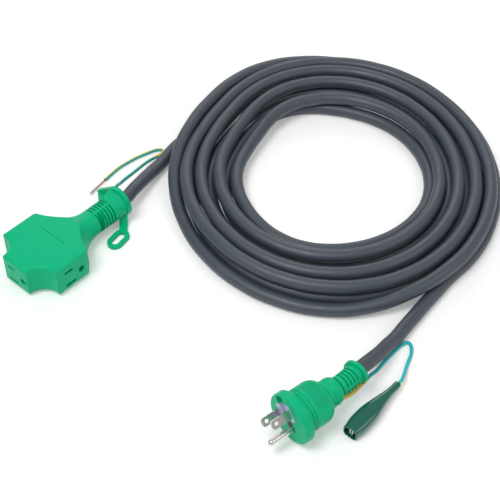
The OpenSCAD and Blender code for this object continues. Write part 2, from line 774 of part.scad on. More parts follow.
pivot_r = 1;
module pivot_rod(grow, reach) {
    half = slot_half + cheek_t + 1;
    translate([-pin_back, half + reach, pin_up]) rotate([90, 0, 0])
        cylinder(r = pivot_r + grow, h = 2 * half + 2 * reach);
}

module earth_pin() {
    knuckle = pin_r;
    color(steel) at_face() translate([-pin_back, 0, pin_up]) rotate([0, -pin_fold, 0]) difference() {
        union() {
            translate([pin_root, 0, 0]) rotate([0, 90, 0]) cylinder(r = pin_r, h = pin_len - pin_r - pin_root);
            rotate([0, 90, 0]) cylinder(r = pin_r - pin_waist, h = pin_root + eps);
            translate([pin_len - pin_r, 0, 0]) sphere(pin_r);
            intersection() {
                translate([0, 3, 0]) rotate([90, 0, 0]) cylinder(r = knuckle, h = 6);
                translate([-far / 2, 0, 0]) rotate([0, 90, 0]) cylinder(r = knuckle_side, h = far);
            }
        }
        translate([0, far / 2, 0]) rotate([90, 0, 0]) cylinder(r = pivot_r + 0.03, h = far);
        translate([pin_len - 1, 0, 0]) rotate([0, 90, 0]) cylinder(r = 0.5, h = 3);
    }
}

module earth_pivot() { color(steel) at_face() pivot_rod(0, 0); }

module bracket_solid(grow) {
    low = pin_up - 3.6;
    high = pin_up + 3.6;
    for (s = [-1, 1])
        translate([-11, s * (slot_half + cheek_t / 2) - cheek_t / 2 - grow, low - grow])
            cube([10.4 + grow, cheek_t + 2 * grow, high - low + 2 * grow]);
    translate([-11 - grow, -slot_half - cheek_t - grow, low - grow])
        cube([cheek_t + grow, 2 * (slot_half + cheek_t + grow), high - low + 2 * grow]);
    translate([-20, -1.5 - grow, pin_up - 0.4 - grow]) cube([9.4, 3 + 2 * grow, 0.8 + 2 * grow]);
}

module earth_bracket() {
    color(brass) at_face() difference() {
        bracket_solid(0);
        pivot_rod(0.03, 2);
    }
}

// Leaf that presses on the pin's knuckle, its ends held in the block.
module earth_leaf() {
    color(brass) at_face()
        translate([-pin_back - pin_r - snug - leaf_t, -slot_half + 0.15, pin_up - 2.7])
        cube([leaf_t, 2 * slot_half - 0.3, 6.3]);
}

module plug_wire(c, p, m, q, d) {
    color(c) at_plug() {
        rod(p, m, core_r);
        translate(m) sphere(core_r + 0.04);
        rod(m, q, core_r);
        rod(q - d * 0.2, q + d, plug_strand_r);
    }
}
plug_strand_r = 0.7;
function rolled(p) = [p[0], p[1] * cos(plug_roll) - p[2] * sin(plug_roll),
    p[1] * sin(plug_roll) + p[2] * cos(plug_roll)];
function core_start(y, z) = rolled([plug_jacket_end + sheath_gap, y, z]);
module plug_side_core(c, s) {
    plug_wire(c, core_start(s * 2, 1.2), rolled([-29, s * 3.4, 2]),
        rolled([-24.5, s * blade_half_pitch, 4.4]), [3.4, 0, 0]);
}
module plug_black_core() { plug_side_core([0.12, 0.12, 0.13], 1); }
module plug_white_core() { plug_side_core([0.9, 0.9, 0.88], -1); }
module plug_green_core() {
    plug_wire([0.1, 0.6, 0.3], core_start(0, -2.4), rolled([-29, 0, -3.4]),
        rolled([-24.5, 0, earth_strand_z]), [4.9, 0, 0]);
}

// ---------- clip ----------
boot_shape = [[0, 5.6, 4.9], [-2.5, 6, 5.15], [-8, 6.9, 5.3], [-15, 7.1, 5.3],
    [-22, 6.7, 5.2], [-29, 5.4, 4.9], [-37, 3.9, 4.2], [-45, 2.9, 3.4],
    [-52, 2.7, 2.9], [-boot_len, 2.5, 2.7]];
boot_hollow = [[0, 4.8, 4.1], [-2.5, 5.2, 4.3], [-8, 6.1, 4.5], [-15, 6.3, 4.5],
    [-22, 5.9, 4.4], [-29, 4.6, 4.1], [-37, 3.1, 3.4], [-45, 2, 2.3],
    [-52, 1.5, 1.5], [-boot_len, 1.5, 1.5]];
boot_sides = 24;
function soft(v, k) = sign(v) * pow(abs(v), k);
function boot_ring(s, k) = [for (i = [0 : boot_sides - 1])
    let (a = 360 * i / boot_sides) [s[0], s[1] * soft(cos(a), k), s[2] * soft(sin(a), k)]];

module clip_boot() {
    m = len(boot_shape);
    n = boot_sides;
    rings = concat(
        [for (i = [0 : m - 1]) boot_ring(boot_shape[i], i < m - 3 ? 0.55 : 0.9)],
        [for (i = [0 : m - 1]) boot_ring(boot_hollow[m - 1 - i], i > 2 ? 0.55 : 1)]);
    pts = [for (r = rings) each r];
    faces = [for (i = [0 : 2 * m - 1], k = [0 : n - 1])
        let (j = (i + 1) % (2 * m), a = i * n + k, b = i * n + (k + 1) % n,
            c = j * n + (k + 1) % n, d = j * n + k)
        each [[a, b, c], [a, c, d]]];
    color(dark_green) at_clip() polyhedron(points = pts, faces = faces);
}

// One jaw: a bent sheet channel, drawn for the +y side.
module jaw_plan() {
    polygon([[-1.5, 0.05], [-1.5, 1.4], [-8, 2.9], [-14, 3.1], [-24, 3], [-28, 3.4],
        [-31, 3.4], [-31, 2.8], [-28, 2.8], [-24, 1.2], [-16, 0.05]]);
}
module jaw_web() {
    polygon([[-1.5, 0.5], [-1.5, 1.4], [-8, 2.9], [-14, 3.1], [-24, 3], [-28, 3.4],
        [-31, 3.4], [-31, 2.8], [-28, 2.8], [-24, 2.4], [-14, 2.5], [-8, 2.3], [-2.2, 0.9]]);
}

// The left jaw's side plates lie inside those of the right jaw.
module jaw(side, inset) {
    turn = side > 0 ? jaw_turn : -jaw_turn;
    translate([jaw_x, 0, 0]) rotate([0, 0, turn]) translate([-jaw_x, 0, 0])
        mirror([0, side > 0 ? 0 : 1, 0]) {
            half = jaw_h - inset;
            translate([0, 0, -half]) linear_extrude(2 * half) jaw_web();
            for (z = [-half, half - sheet])
                translate([0, 0, z]) linear_extrude(sheet) difference() {
                    jaw_side();
                    translate([jaw_x, 0]) circle(0.85);
                }
        }
}
module jaw_side() {
    difference() {
        union() {
            jaw_plan();
            translate([jaw_x, 0]) circle(2);
        }
        for (i = [0 : 3]) translate([-3.4 - 2 * i, -0.2]) rotate(45) square(1, center = true);
    }
}

module clip_jaw_left() { color(steel) at_clip() jaw(-1, sheet + 0.05); }
module clip_jaw_right() { color(steel) at_clip() jaw(1, 0); }

module clip_pivot() {
    color(steel) at_clip() translate([jaw_x, 0, -jaw_h - 0.5]) {
        cylinder(r = 0.8, h = 2 * jaw_h + 1);
        cylinder(r = 1.4, h = 0.45);
        translate([0, 0, 2 * jaw_h + 0.55]) cylinder(r = 1.4, h = 0.45);
    }
}

spring_r = 1.45;
spring_turns = 3;
spring_half = 1.2;
module clip_spring() {
    coils = [for (i = [0 : 12 * spring_turns])
        let (a = 30 * i + 90)
        [jaw_x + spring_r * cos(a), spring_r * sin(a),
            spring_half * (i / (6 * spring_turns) - 1)]];
    path = concat([[-27.5, 2.2, -spring_half], [-24, 1.6, -spring_half]], coils,
        [[-24, -1.6, spring_half], [-27.5, -2.2, spring_half]]);
    color(steel) at_clip() swept(path, 0.35, 6);
}

module clip_wire() {
    color(brass) at_clip() rod([-37.7, 0, 0], [-31, -2.2, 0], 0.5);
}

tap_cover();
tap_core_lower();
tap_core_upper();
tap_hot_bus();
tap_neutral_bus();
tap_earth_bus();
tap_black_core();
tap_white_core();
tap_green_core();
tap_lead();
tap_lead_wire();
tap_lead_tip();
cord_tap_end();
cord_coil();
cord_plug_end();
plug_cover();
plug_core();
live_blade();
neutral_blade();
earth_pin();
earth_pivot();
earth_bracket();
earth_leaf();
plug_black_core();
plug_white_core();
plug_green_core();
clip_lead();
clip_wire();
clip_boot();
clip_jaw_left();
clip_jaw_right();
clip_pivot();
clip_spring();
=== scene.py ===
"""Shore power cord: a three-arm tap, coiled cord, plug with a folding earth pin and an earth clip.

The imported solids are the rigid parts. The cord, the two earth leads, the clip's vinyl boot and the bare
strands are drawn here as smooth ones along the same routes, except that the coil's turns lie closer together.
The two moulded covers are welded copies of their solids, shaded smooth.
"""

import math
import random

import bpy
import bmesh
from mathutils import Matrix, Vector


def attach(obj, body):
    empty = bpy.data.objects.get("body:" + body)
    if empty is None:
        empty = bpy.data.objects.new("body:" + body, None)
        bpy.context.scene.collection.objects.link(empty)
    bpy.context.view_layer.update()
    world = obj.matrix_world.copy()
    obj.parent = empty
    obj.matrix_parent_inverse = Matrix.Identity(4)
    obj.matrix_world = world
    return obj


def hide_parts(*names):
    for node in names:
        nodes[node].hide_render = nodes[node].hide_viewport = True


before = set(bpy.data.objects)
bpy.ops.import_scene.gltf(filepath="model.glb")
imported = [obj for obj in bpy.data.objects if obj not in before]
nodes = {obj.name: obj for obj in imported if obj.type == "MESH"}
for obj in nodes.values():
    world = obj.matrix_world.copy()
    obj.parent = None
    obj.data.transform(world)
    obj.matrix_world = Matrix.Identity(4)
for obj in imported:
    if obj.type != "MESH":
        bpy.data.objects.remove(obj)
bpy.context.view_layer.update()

MM = 0.001

# ---------------------------------------------------------------- sizes, in millimetres
# yaws in degrees, places of the plug's face and of the clip's mouth
TAP_YAW = 48.2
PLUG_YAW = 218.4
PLUG_POS = Vector((178.5, -154, 19.2))
CLIP_YAW = 229.1
CLIP_POS = Vector((219.6, -154.9, 5.4))
# height of the tap's axis, and where its neck ends
AXIS_Z = 13.5
NECK_END = 78.5
CORD_D = 10.5
LEAD_D = 2.7
# the plug's relief bends off its axis here, with this radius, by this many degrees
RELIEF_X = -43.4
RELIEF_BEND = 79
RELIEF_ANGLE = 12
BOOT_LEN = 54
# where the lines of the cord and the leads start inside the mouldings, and where the leads come out
INSIDE_TAP = (54, 66)
INSIDE_PLUG = -37
INSIDE_BOOT = -38
INSIDE_TAP_LEAD = (66, 4.2, 21.2)
INSIDE_PLUG_LEAD = (-33.5, 3.85, -4.45)
TAP_LEAD_EXIT = (NECK_END, 5.3, 24.4)
PLUG_LEAD_EXIT = (-43.5, 5.6, -6.2)

# the coil: an oval winding, with s counted in turns from where the cord comes in. Its outermost turn
# has the radius COIL_R before it is stretched, and each step inwards is one COIL_PITCH
COIL_MID = (220, 97)
COIL_WIDE = 0.94
COIL_TALL = 1.06
COIL_R = 135
COIL_PITCH = 13.4
COIL_LOOPS = 4
COIL_START = 148          # degrees
COIL_END = -37
COIL_CLIMB = 0.4          # turns that the climb to the upper layer takes
COIL_LOW = CORD_D / 2 + 0.05
COIL_ALL = 2 * COIL_LOOPS + (COIL_START - COIL_END) / 360
PER_TURN = 24             # points of the coil's line in one turn
LOWER_SAMPLES = 500       # places tried along the lower layer for what rests on it
TAIL_SAMPLES = 40         # and along the way out
RUN_STEP = 2              # and how far apart on the two runs
REST_GAP = 0.3            # left between a turn and the one it rests on
OWN_SPAN = 0.4            # the cord can't rest on its own line within this many turns
TUCK = 0.3                # turns in which the cord first moves in from the edge
INNER = COIL_LOOPS - 1 + TUCK            # end of the lower layer
UPPER_END = 2 * COIL_LOOPS - 0.9         # end of the upper one
LANDED = 1.2              # turns from there until the cord is on the floor for good
# place across the winding, counted in steps from the outermost turn
LANES = (
    (0, 0.15), (TUCK, 0.75), (TUCK + 0.2, 0.84), (INNER, COIL_LOOPS), (INNER + COIL_CLIMB, COIL_LOOPS),
    (UPPER_END - 0.8, 1.17), (UPPER_END - 0.5, 0.84), (UPPER_END - 0.1, 0.64), (UPPER_END + 0.2, 0.28),
    (UPPER_END + 0.4, 0.02), (UPPER_END + 0.6, -0.25), (UPPER_END + 0.9, -0.25), (UPPER_END + 1.05, -0.42),
    (UPPER_END + LANDED, -0.36), (COIL_ALL, -0.15),
)
# height above the floor, counted in layers
LIFTS = (
    (INNER, 0), (INNER + COIL_CLIMB, 1), (UPPER_END + 0.47, 1), (UPPER_END + 0.58, 0), (UPPER_END + 0.7, 0),
    (UPPER_END + 0.83, 1), (UPPER_END + 1.02, 1), (UPPER_END + LANDED, 0),
)
# the winding is pressed in where the cord comes in: depth, and angle and spread in degrees
DENT = 6
DENT_ANGLE = 150
DENT_SPREAD = 24
# how the turns of each layer wander: reach, waves round the coil and phase
LOWER_SWAY = ((3.0, 3, 0.9), (1.6, 1, -2.2))
UPPER_SWAY = ((3.0, 2, -2.4), (1.4, 1, 0.6))
# the same along the cord: reach, radians for each turn, and phase
RIPPLE = ((0.5, 2.4, 0.5), (0.3, 5.3, 0))
SWAY_EASE = 0.5           # turns over which all this comes and goes
# steps outwards that the lower turns lie, under the gaps of the upper ones, and in turns where this
# starts, how long it grows and how long it takes to end
LEAN = 0.3
LEAN_FROM = 0.45
LEAN_IN = 0.3
LEAN_OUT = 0.5
# turns on either side of a place over which the tables' corners are rounded off
LANE_REACH = 0.08
SWAY_REACH = 0.1
LIFT_REACH = 0.04
NUDGE_REACH = 0.03
# shifts outwards along the coil, negative ones inwards, that close the gaps between turns
NUDGES = (
    (0.9, 0), (0.99, -1.4), (1.06, 0), (1.75, 0), (1.82, -0.7), (1.88, 0), (1.95, 2.2), (1.99, 2.6),
    (2.05, -1), (2.12, -2.4), (2.2, -1.8), (2.24, -0.4), (2.28, 0.9), (2.33, 0.4), (2.4, 0), (2.75, 0),
    (2.82, 0.7), (2.87, 0.6), (2.95, 2.2), (2.99, 3.6), (3.04, 0), (3.08, -4), (3.12, -8), (3.16, -10.5),
    (3.2, -9.7), (3.24, -6), (3.29, -0.9), (3.33, -0.6), (3.41, -0.7), (3.48, 0), (3.55, -2), (3.66, -6),
    (3.77, -3), (3.87, 1.9), (4, 0), (4.07, -2.5), (4.11, -5), (4.16, -7), (4.22, -7.4), (4.28, -4.4),
    (4.34, -1), (4.41, 0.7), (4.5, 0), (4.66, -2.5), (4.8, 0), (5.12, 0), (5.2, -0.8), (5.28, -0.4),
    (5.36, 0), (6.77, 0), (6.83, 0.3), (6.87, 1.2), (6.93, 0.8), (7.05, 0), (7.6, 0), (7.7, -2.4),
    (7.76, -3.5), (7.83, -4), (7.87, -3.6), (7.91, -1.7), (7.95, -1.1), (8.1, 0),
)

CAMERA_AT = (153.5, -611.0, 652.4)
CAMERA_TO = (153.5, 19.1, 0)
CAMERA_LENS = 85.1
SENSOR_WIDTH = 36


# ---------------------------------------------------------------- frames
def turned(point, degrees):
    return Matrix.Rotation(math.radians(degrees), 3, "Z") @ Vector(point)


def tap_point(point):
    return turned(point, TAP_YAW)


def plug_point(point):
    return PLUG_POS + turned(point, PLUG_YAW)


def clip_point(point):
    return CLIP_POS + turned(point, CLIP_YAW)


def plug_matrix():
    """From the plug's own frame to the shared frame, in metres."""
    return Matrix.Translation(PLUG_POS * MM) @ Matrix.Rotation(math.radians(PLUG_YAW), 4, "Z")


# ---------------------------------------------------------------- camera
def make_camera():
    data = bpy.data.cameras.new("camera")
    data.lens = CAMERA_LENS
    data.sensor_width = SENSOR_WIDTH
    data.clip_start = 0.01
    data.clip_end = 20
    camera = bpy.data.objects.new("camera", data)
    bpy.context.scene.collection.objects.link(camera)
    camera.location = Vector(CAMERA_AT) * MM
    aim = (Vector(CAMERA_TO) - Vector(CAMERA_AT)).to_track_quat("-Z", "Y")
    camera.rotation_euler = aim.to_euler()
    bpy.context.scene.camera = camera


# ---------------------------------------------------------------- material building blocks
class Surface:
    """One procedural material, built up in small steps."""

    def __init__(self, name, color, roughness, metallic=0.0):
        self.material = bpy.data.materials.new(name)
        self.material.use_nodes = True
        self.material.diffuse_color = (*color, 1)
        self.nodes = self.material.node_tree.nodes
        self.links = self.material.node_tree.links
        self.shader = self.nodes["Principled BSDF"]
        self.shader.inputs["Base Color"].default_value = (*color, 1)
        self.shader.inputs["Roughness"].default_value = roughness
        self.shader.inputs["Metallic"].default_value = metallic
        self.color = (*color, 1)
        self.normal = None
        self.coords = self.nodes.new("ShaderNodeTexCoord").outputs["Object"]

    def noise(self, scale, detail):
        node = self.nodes.new("ShaderNodeTexNoise")
        node.inputs["Scale"].default_value = scale
        node.inputs["Detail"].default_value = detail
        self.links.new(self.coords, node.inputs["Vector"])
        return node.outputs["Fac"]

    def math(self, kind, a, b=None):
        node = self.nodes.new("ShaderNodeMath")
        node.operation = kind
        for socket, value in zip(node.inputs, (a, b)):
            if value is None:
                continue
            if isinstance(value, (int, float)):
                socket.default_value = value
            else:
                self.links.new(value, socket)
        return node.outputs[0]

    def span(self, value, low, high, to_low=0.0, to_high=1.0):
        node = self.nodes.new("ShaderNodeMapRange")
        node.inputs["From Min"].default_value = low
        node.inputs["From Max"].default_value = high
        node.inputs["To Min"].default_value = to_low
        node.inputs["To Max"].default_value = to_high
        self.links.new(value, node.inputs["Value"])
        return node.outputs["Result"]

    def mix(self, factor, a, b):
        node = self.nodes.new("ShaderNodeMix")
        node.data_type = "RGBA"
        for socket, value in ((node.inputs[0], factor), (node.inputs[6], a), (node.inputs[7], b)):
            if isinstance(value, (int, float, tuple)):
                socket.default_value = value
            else:
                self.links.new(value, socket)
        return node.outputs[2]

    def bump(self, height, strength, distance):
        node = self.nodes.new("ShaderNodeBump")
        node.inputs["Strength"].default_value = strength
        node.inputs["Distance"].default_value = distance
        self.links.new(height, node.inputs["Height"])
        if self.normal is not None:
            self.links.new(self.normal, node.inputs["Normal"])
        self.normal = node.outputs["Normal"]
        self.links.new(self.normal, self.shader.inputs["Normal"])

    def mottle(self, scale, amount):
        """Uneven tone of the base colour."""
        dark = tuple(c * (1 - amount) for c in self.color[:3]) + (1,)
        light = tuple(min(1, c * (1 + amount)) for c in self.color[:3]) + (1,)
        self.links.new(self.mix(self.noise(scale, 4), dark, light), self.shader.inputs["Base Color"])

    def uneven_gloss(self, scale, low, high):
        """Roughness that wanders between two values."""
        value = self.span(self.noise(scale, 5), 0.3, 0.7, low, high)
        self.links.new(value, self.shader.inputs["Roughness"])

    def local(self, matrix):
        """Coordinates of another frame, in metres."""
        inverse = matrix.inverted()
        node = self.nodes.new("ShaderNodeMapping")
        node.vector_type = "POINT"
        node.inputs["Location"].default_value = inverse.to_translation()
        node.inputs["Rotation"].default_value = inverse.to_euler("XYZ")
        self.links.new(self.coords, node.inputs["Vector"])
        return node.outputs["Vector"]

    def split(self, vector):
        node = self.nodes.new("ShaderNodeSeparateXYZ")
        self.links.new(vector, node.inputs[0])
        return node.outputs

    def set(self, name, value):
        self.shader.inputs[name].default_value = value


# ---------------------------------------------------------------- materials
GREEN = (0.0002, 0.49, 0.225)
YELLOW = (0.88, 0.64, 0.08)
TEAL = (0.0, 0.38, 0.33)
CYAN = (0.0, 0.52, 0.58)
# half the yellow stripe's width and its soft edge, in turns round the lead
STRIPE_HALF = 0.2
STRIPE_EDGE = 0.015
# where the stripe starts round each lead, in turns, and its shifts: metres along, metres taken, turns
TAP_STRIPE = (-0.25, ((0.03, 0.02, 0.25), (0.075, 0.02, 0.39)))
CLIP_STRIPE = (0.335, ((0.034, 0.012, -0.52),))
# the knurled patch on the plug's barrel: in metres its pitch, radius, ends and fade along the barrel,
# in radians its middle, half width and fade round it
KNURL_PITCH = 0.0017
KNURL_R = 0.0158
KNURL_FROM = -0.0255
KNURL_TO = -0.0145
KNURL_FADE = 0.001
KNURL_TURN = 0.15
KNURL_HALF = 0.75
KNURL_TURN_FADE = 0.06


def moulded_rubber(name):
    """Smooth green rubber with a fine grain."""
    s = Surface(name, GREEN, 0.4)
    s.mottle(60, 0.05)
    s.uneven_gloss(120, 0.36, 0.48)
    s.bump(s.noise(5200, 2), 0.14, 0.00006)
    s.set("Specular IOR Level", 0.18)
    return s


def green_rubber():
    return moulded_rubber("green_rubber").material


def plug_rubber():
    """The plug's rubber, with a patch of fine crossed knurling on the barrel's upper side."""
    s = moulded_rubber("plug_rubber")
    x, y, z = s.split(s.local(plug_matrix()))
    around = s.math("ARCTAN2", y, z)
    along = s.math("MULTIPLY", x, 2 * math.pi / KNURL_PITCH)
    turns = s.math("MULTIPLY", around, 2 * math.pi * KNURL_R / KNURL_PITCH)
    one_way = s.math("SINE", s.math("ADD", along, turns))
    other_way = s.math("SINE", s.math("SUBTRACT", along, turns))
    ridges = s.math("MULTIPLY", one_way, other_way)
    behind = s.span(x, KNURL_FROM - KNURL_FADE, KNURL_FROM)
    before = s.span(x, KNURL_TO, KNURL_TO - KNURL_FADE)
    in_length = s.math("MULTIPLY", behind, before)
    off_turn = s.math("ABSOLUTE", s.math("SUBTRACT", around, KNURL_TURN))
    in_turn = s.span(off_turn, KNURL_HALF, KNURL_HALF - KNURL_TURN_FADE)
    patch = s.math("MULTIPLY", in_length, in_turn)
    s.bump(s.math("MULTIPLY", ridges, patch), 0.7, 0.0003)
    return s.material


def sheath_rubber():
    s = Surface("sheath_rubber", (0.047, 0.061, 0.081), 0.46)
    s.mottle(45, 0.1)
    s.uneven_gloss(90, 0.42, 0.54)
    s.bump(s.noise(3400, 3), 0.2, 0.00008)
    s.set("Specular IOR Level", 0.75)
    return s.material


def plastic(name, color, roughness=0.4):
    s = Surface(name, color, roughness)
    s.mottle(150, 0.04)
    s.uneven_gloss(300, roughness - 0.06, roughness + 0.08)
    s.bump(s.noise(6000, 2), 0.1, 0.00004)
    return s.material


def metal(name, color, roughness=0.25):
    s = Surface(name, color, roughness, metallic=1.0)
    s.mottle(260, 0.05)
    s.uneven_gloss(400, roughness - 0.05, roughness + 0.06)
    s.bump(s.noise(1800, 3), 0.06, 0.00002)
    return s.material


def boot_vinyl():
    s = Surface("boot_vinyl", (0.0008, 0.12, 0.08), 0.12)
    s.mottle(120, 0.12)
    s.uneven_gloss(200, 0.1, 0.2)
    s.bump(s.noise(420, 3), 0.1, 0.0003)
    s.set("Coat Weight", 0.6)
    s.set("Coat Roughness", 0.08)
    return s.material


def striped_insulation(name, green):
    """Earth lead: green with one yellow stripe, at the place round the lead that the uv map gives it."""
    s = Surface(name, green, 0.3)
    uv = s.nodes.new("ShaderNodeUVMap")
    uv.uv_map = "tube"
    around = s.split(uv.outputs["UV"])[1]
    place = s.math("FRACT", s.math("ADD", around, 2))
    off_middle = s.math("ABSOLUTE", s.math("SUBTRACT", place, 0.5))
    outside = s.span(off_middle, STRIPE_HALF, STRIPE_HALF + STRIPE_EDGE)
    s.links.new(s.mix(outside, (*YELLOW, 1), (*green, 1)), s.shader.inputs["Base Color"])
    s.uneven_gloss(300, 0.24, 0.36)
    s.bump(s.noise(4000, 2), 0.1, 0.00004)
    return s.material


def copper():
    s = Surface("copper_strand", (0.8, 0.5, 0.32), 0.3, metallic=1.0)
    s.mottle(900, 0.2)
    s.uneven_gloss(900, 0.22, 0.42)
    s.bump(s.noise(5000, 2), 0.1, 0.00003)
    return s.material


# ---------------------------------------------------------------- meshes
def new_piece(name, mesh, material, body):
    piece = bpy.data.objects.new(name, mesh)
    bpy.context.scene.collection.objects.link(piece)
    mesh.materials.clear()
    mesh.materials.append(material)
    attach(piece, body)
    return piece


def tube_frames(points):
    """Tangent, side and up at each point, carried along without a twist."""
    count = len(points)
    frames = []
    side = None
    for i in range(count):
        tangent = (points[min(i + 1, count - 1)] - points[max(i - 1, 0)]).normalized()
        if side is None:
            side = tangent.cross(Vector((0, 0, 1))).normalized()
        side = (side - tangent * side.dot(tangent)).normalized()
        frames.append((tangent, side, side.cross(tangent)))
    return frames


def stripe_turn(along, stripe):
    """How far round the lead the stripe lies, in turns, at so many metres along it."""
    start, shifts = stripe
    return sum((turns * min(1, max(0, (along - at) / span)) for at, span, turns in shifts), start)


def tube_mesh(name, points, radius, sides, stripe=(0, ())):
    """A closed round tube with a uv map: along in metres, around in turns from the stripe."""
    bm = bmesh.new()
    uv = bm.loops.layers.uv.new("tube")
    rings = []
    frames = tube_frames(points)
    along = [0.0]
    for a, b in zip(points, points[1:]):
        along.append(along[-1] + (b - a).length)
    for point, (_, side, up) in zip(points, frames):
        rings.append(
            [
                bm.verts.new(
                    point
                    + side * radius * math.cos(2 * math.pi * k / sides)
                    + up * radius * math.sin(2 * math.pi * k / sides)
                )
                for k in range(sides)
            ]
        )
    for i in range(len(rings) - 1):
        for k in range(sides):
            n = (k + 1) % sides
            face = bm.faces.new((rings[i][k], rings[i + 1][k], rings[i + 1][n], rings[i][n]))
            face.smooth = True
            for loop, (s, t) in zip(face.loops, ((i, k), (i + 1, k), (i + 1, k + 1), (i, k + 1))):
                loop[uv].uv = (along[s], t / sides + stripe_turn(along[s], stripe))
    bm.faces.new(list(reversed(rings[0]))).smooth = True
    bm.faces.new(rings[-1]).smooth = True
    bm.normal_update()
    mesh = bpy.data.meshes.new(name)
    bm.to_mesh(mesh)
    bm.free()
    return mesh


def rounded(points, step):
    """A smooth line through given points, one point every step."""
    out = []
    count = len(points)
    for i in range(count - 1):
        p0 = points[max(i - 1, 0)]
        p1, p2 = points[i], points[i + 1]
        p3 = points[min(i + 2, count - 1)]
        parts = max(1, round((p2 - p1).length / step))
        d1 = max((p1 - p0).length, 1e-6) ** 0.5
        d2 = max((p2 - p1).length, 1e-6) ** 0.5
        d3 = max((p3 - p2).length, 1e-6) ** 0.5
        m1 = m2 = p2 - p1
        if i > 0:
            m1 = ((p1 - p0) / d1 - (p2 - p0) / (d1 + d2) + (p2 - p1) / d2) * d2
        if i < count - 2:
            m2 = ((p2 - p1) / d2 - (p3 - p1) / (d2 + d3) + (p3 - p2) / d3) * d2
        for k in range(parts):
            t = k / parts
            out.append(
                p1 * (2 * t**3 - 3 * t**2 + 1)
                + m1 * (t**3 - 2 * t**2 + t)
                + p2 * (-2 * t**3 + 3 * t**2)
                + m2 * (t**3 - t**2)
            )
    out.append(points[-1].copy())
    return out


def length_of(points):
    return sum((b - a).length for a, b in zip(points, points[1:]))


# ---------------------------------------------------------------- routes, in millimetres
TAP_RUN = (
    (61, 73.2, 12.6), (64.6, 80.8, 11.2), (68.2, 88.8, 9.6), (71.6, 95.6, 8.2), (75.2, 102.4, 6.8),
    (79.9, 111, 5.7), (85.6, 122, 5.3), (91.5, 132.6, 5.3),
)
PLUG_RUN = (
    (299.5, -17.2, 5.3), (290.6, -28.6, 5.3), (281.6, -39.9, 5.3), (272.9, -51.5, 5.3),
    (264.6, -62.6, 5.5), (256.4, -74.4, 6.6), (250.2, -82.4, 8.8), (243.8, -92, 12.2),
    (237.2, -100.6, 15.8), (230.6, -108.6, 18.6),
)
TAP_LEAD_RUN = (
    (49.6, 65.4, 24.2), (50.8, 71.2, 20.6), (54.3, 82, 16), (59.2, 93.2, 12), (64.3, 104.2, 8.6),
    (69.1, 113.6, 5.8), (74.3, 120.7, 4.2), (78.7, 125.4, 3.2), (80.8, 128, 2.6), (81.5, 130.6, 2.2),
    (80.4, 133, 2), (77.8, 133.8, 1.8), (73.4, 132.6, 1.7), (67.9, 129.5, 1.5), (60.6, 124.7, 1.5),
    (53.8, 119.1, 1.5), (47.2, 112.8, 1.5), (41.2, 105.1, 1.5), (35.8, 96.8, 1.5),
)
CLIP_LEAD_RUN = (
    (219.8, -129, 12.2), (224, -124.4, 10.6), (228.5, -118, 8.4), (232, -113, 6.4), (236.1, -106.3, 4.4),
    (241.2, -100.6, 2.8), (245.9, -93.9, 1.8), (251.7, -86.5, 1.6), (256.9, -80.6, 1.6), (261.4, -76.2, 1.6),
    (264.9, -73.9, 1.6), (267.2, -75.2, 1.6), (268, -80, 1.6), (266.8, -85.9, 1.6), (264.7, -91.2, 1.6),
    (262.6, -96.9, 2.2), (260.4, -104, 3.6),
)


def looked_up(s, keys):
    """Value at s on the straight lines through the keys."""
    if s <= keys[0][0]:
        return keys[0][1]
    for (a, low), (b, high) in zip(keys, keys[1:]):
        if s <= b:
            return low + (high - low) * (s - a) / (b - a)
    return keys[-1][1]


def eased(s, keys, reach):
    """The same as a mean of nine places, which rounds off corners but not the coil's two ends."""
    reach = min(reach, max(0, s), max(0, COIL_ALL - s))
    return sum(looked_up(s + reach * k / 4, keys) for k in range(-4, 5)) / 9


def dented(angle):
    """How far the winding is pressed in where the cord comes in."""
    off = (angle - DENT_ANGLE + 180) % 360 - 180
    return DENT * math.exp(-((off / DENT_SPREAD) ** 2))


def coil_sway(s, angle):
    """The unevenness of hand-laid turns; none where the cord comes in and goes out."""
    ease = max(0, min(1, s / SWAY_EASE, (COIL_ALL - s) / SWAY_EASE))
    inward = (eased(s, LANES, SWAY_REACH) / COIL_LOOPS) ** 2
    a = math.radians(angle)
    lower = sum(reach * math.cos(waves * a + phase) for reach, waves, phase in LOWER_SWAY)
    upper = sum(reach * math.cos(waves * a + phase) for reach, waves, phase in UPPER_SWAY)
    risen = max(0, min(1, (s - INNER) / COIL_CLIMB))
    wander = lower + (upper - lower) * risen
    leaning = min(1, (INNER + COIL_CLIMB - s) / LEAN_OUT, (s - LEAN_FROM) / LEAN_IN)
    lean = LEAN * COIL_PITCH * max(0, leaning)
    lean += eased(s, NUDGES, NUDGE_REACH)
    ripple = sum(reach * math.sin(waves * s + phase) for reach, waves, phase in RIPPLE)
    return ease * (lean + inward * wander + ripple)


def coil_flat(s):
    """Where the middle of the cord lies at s, seen from above."""
    degrees = COIL_START - 360 * s
    angle = math.radians(degrees)
    lane = eased(s, LANES, LANE_REACH)
    radius = COIL_R - COIL_PITCH * lane - dented(degrees) + coil_sway(s, degrees)
    x = COIL_MID[0] + COIL_WIDE * radius * math.cos(angle)
    y = COIL_MID[1] + COIL_TALL * radius * math.sin(angle)
    return Vector((x, y, 0))


def flat(point):
    return Vector((point.x, point.y, 0))


